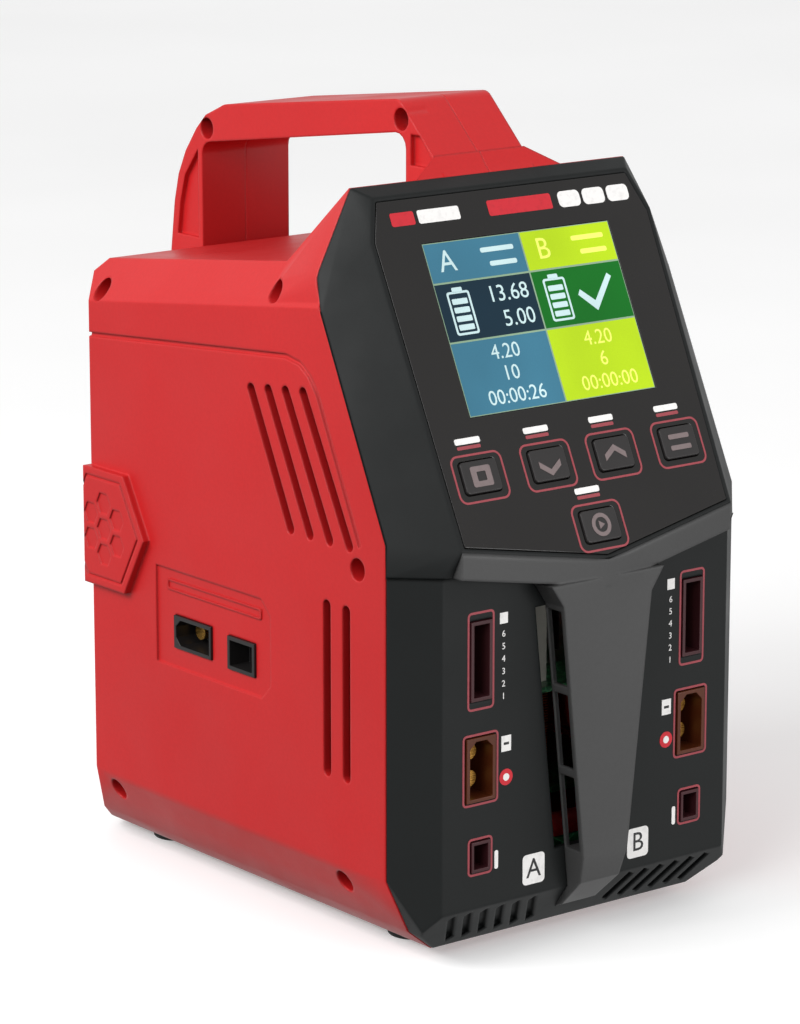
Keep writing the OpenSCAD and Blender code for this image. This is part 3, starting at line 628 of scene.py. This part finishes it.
# ---------------------------------------------------------------- marks round the sockets on the front
port_pink = Piece(FRONT)
port_white = Piece(FRONT)
port_dark = Piece(FRONT)
port_red = Piece(FRONT)
INK_OVER_N = (0.0, 0.14)
for side in (-1, 1):
    x = side * SOCKET_X
    for z, w, h in ((BALANCE_Z, 8.8, 26), (OUTPUT_Z, 11.8, 19.2), (SENSOR_Z, 8.2, 10.2)):
        port_pink.ring(rounded(w, h, 1.3, x, z), rounded(w - 1.2, h - 1.2, 0.7, x, z), *PRINT_N)
    label_x = side * 28.5
    port_white.prism(rect(2.6, 2.9, label_x, 91), *PRINT_N)
    for i in range(6):
        port_white.glyph(str(6 - i), 2.4, label_x, 86.8 - i * 3.3, *PRINT_N)
    sign_x, minus_z, plus_z = side * 27.5, 57.6, 48.6
    port_white.prism(rect(3.2, 4.2, sign_x, minus_z), *PRINT_N)
    port_dark.prism(rect(1.7, 0.7, sign_x, minus_z), *INK_OVER_N)
    port_red.prism(circle(2.2, sign_x, plus_z), *PRINT_N)
    port_white.prism(circle(1, sign_x, plus_z, 20), *INK_OVER_N)
    port_white.prism(rounded(1.2, 5, 0.5, side * 30.6, 27), *PRINT_N)
    badge_x, badge_z = side * 18, 22
    port_white.prism(rounded(7.4, 8.2, 1.2, badge_x, badge_z), *PRINT_N)
    port_dark.glyph("A" if side < 0 else "B", 7.4, badge_x, badge_z, *INK_OVER_N)
port_pink.build("port_outlines", "case", PRINT_PINK)
port_white.build("port_labels", "case", PRINT_WHITE)
port_dark.build("port_letters", "case", PRINT_DARK)
port_red.build("port_dots", "case", PRINT_RED)

# Raised outline along the top of the input field on the left side, whose floor lies 0.6 mm deep
TITLE_AT = (-85.2, 83.6)
title = Piece(LEFT)
title.ring(rounded(43, 3.2, 0.8, *TITLE_AT), rounded(41.6, 1.8, 0.3, *TITLE_AT), -0.65, -0.3)
title.build("input_title_bar", "case", LOOKS["red_shell"])


# ---------------------------------------------------------------- floor, light and camera
def stage_floor():
    """A pale floor that shows white with soft shadows, and that doesn't tint the object."""
    mesh = bpy.data.meshes.new("floor")
    side = 80
    mesh.from_pydata([(x, y, 0) for x, y in rect(side, side)], [], [(0, 1, 2, 3)])
    look = Look("floor", Roughness=0.8, Specular_IOR_Level=0.1, Emission_Strength=0.26)
    look.shader.inputs["Emission Color"].default_value = (1, 1, 1, 1)
    pale_grey = (0.8, 0.8, 0.8, 1)
    drift = look.spread(look.noise(3), 0, 1)
    look.colour(look.mix(drift, scaled(pale_grey, 0.975), scaled(pale_grey, 1.025)))
    mesh.materials.append(look.material)
    obj = bpy.data.objects.new("floor", mesh)
    bpy.context.scene.collection.objects.link(obj)
    obj.visible_diffuse = False
    obj.visible_glossy = False


def area_light(name, position, target, size, power):
    data = bpy.data.lights.new(name, "AREA")
    data.shape = "RECTANGLE"
    data.size, data.size_y = size
    data.energy = power
    obj = bpy.data.objects.new(name, data)
    obj.location = position
    obj.rotation_euler = (Vector(target) - Vector(position)).to_track_quat("-Z", "Y").to_euler()
    bpy.context.scene.collection.objects.link(obj)


def sun_light(name, towards, power, spread):
    data = bpy.data.lights.new(name, "SUN")
    data.energy = power
    data.angle = math.radians(spread)
    obj = bpy.data.objects.new(name, data)
    obj.rotation_euler = Vector(towards).to_track_quat("Z", "Y").to_euler()
    bpy.context.scene.collection.objects.link(obj)


def studio_world(low, level, high, sheen, seen):
    """Soft light from all round.

    The strengths are from below, from the horizon and from above, then the one that polished faces
    mirror, and the one that the camera sees.
    """
    world = bpy.data.worlds.new("studio")
    world.use_nodes = True
    tree = world.node_tree
    background = tree.nodes["Background"]
    background.inputs["Color"].default_value = (1, 1, 1, 1)
    direction = tree.nodes.new("ShaderNodeTexCoord").outputs["Generated"]
    split = tree.nodes.new("ShaderNodeSeparateXYZ")
    ramp = tree.nodes.new("ShaderNodeFloatCurve")
    curve = ramp.mapping.curves[0]
    curve.points[0].location = (0, low)
    curve.points[1].location = (1, high)
    horizon = 0.5
    curve.points.new(horizon - 0.06, low * 2)
    curve.points.new(horizon, level)
    ramp.mapping.update()
    lift = tree.nodes.new("ShaderNodeMapRange")
    lift.inputs["From Min"].default_value = -1
    ray = tree.nodes.new("ShaderNodeLightPath")
    mirrored = tree.nodes.new("ShaderNodeMix")
    mirrored.inputs["B"].default_value = sheen
    pick = tree.nodes.new("ShaderNodeMix")
    pick.inputs["B"].default_value = seen
    tree.links.new(direction, split.inputs[0])
    tree.links.new(split.outputs["Z"], lift.inputs["Value"])
    tree.links.new(lift.outputs["Result"], ramp.inputs["Value"])
    tree.links.new(ray.outputs["Is Camera Ray"], pick.inputs["Factor"])
    tree.links.new(ray.outputs["Is Glossy Ray"], mirrored.inputs["Factor"])
    tree.links.new(ramp.outputs["Value"], mirrored.inputs["A"])
    tree.links.new(mirrored.outputs["Result"], pick.inputs["A"])
    tree.links.new(pick.outputs["Result"], background.inputs["Strength"])
    bpy.context.scene.world = world


stage_floor()
studio_world(low=0.03, level=0.65, high=0.45, sheen=0.8, seen=1.0)
sun_light("key_light", towards=(-0.85, -0.3, 0.5), power=1.2, spread=30)
area_light("front_light", position=(0.3, -1.2, 0.15), target=(0, 0, 0.12), size=(0.8, 0.5), power=11)
area_light(
    "left_light", position=(-0.62, 0.12, 0.55), target=(-0.05, 0.02, 0.2), size=(0.5, 0.35), power=4.2
)

camera = bpy.data.cameras.new("camera")
camera.lens = 143.76
camera.sensor_fit = "VERTICAL"
camera.sensor_height = 36
camera.clip_start = 0.05
camera_obj = bpy.data.objects.new("camera", camera)
camera_obj.location = (-0.67185, -0.85649, 0.35440)
camera_obj.rotation_euler = (math.radians(76.83), 0, math.radians(-38.17))
bpy.context.scene.collection.objects.link(camera_obj)
bpy.context.scene.camera = camera_obj
bpy.context.scene.view_settings.view_transform = "Standard"
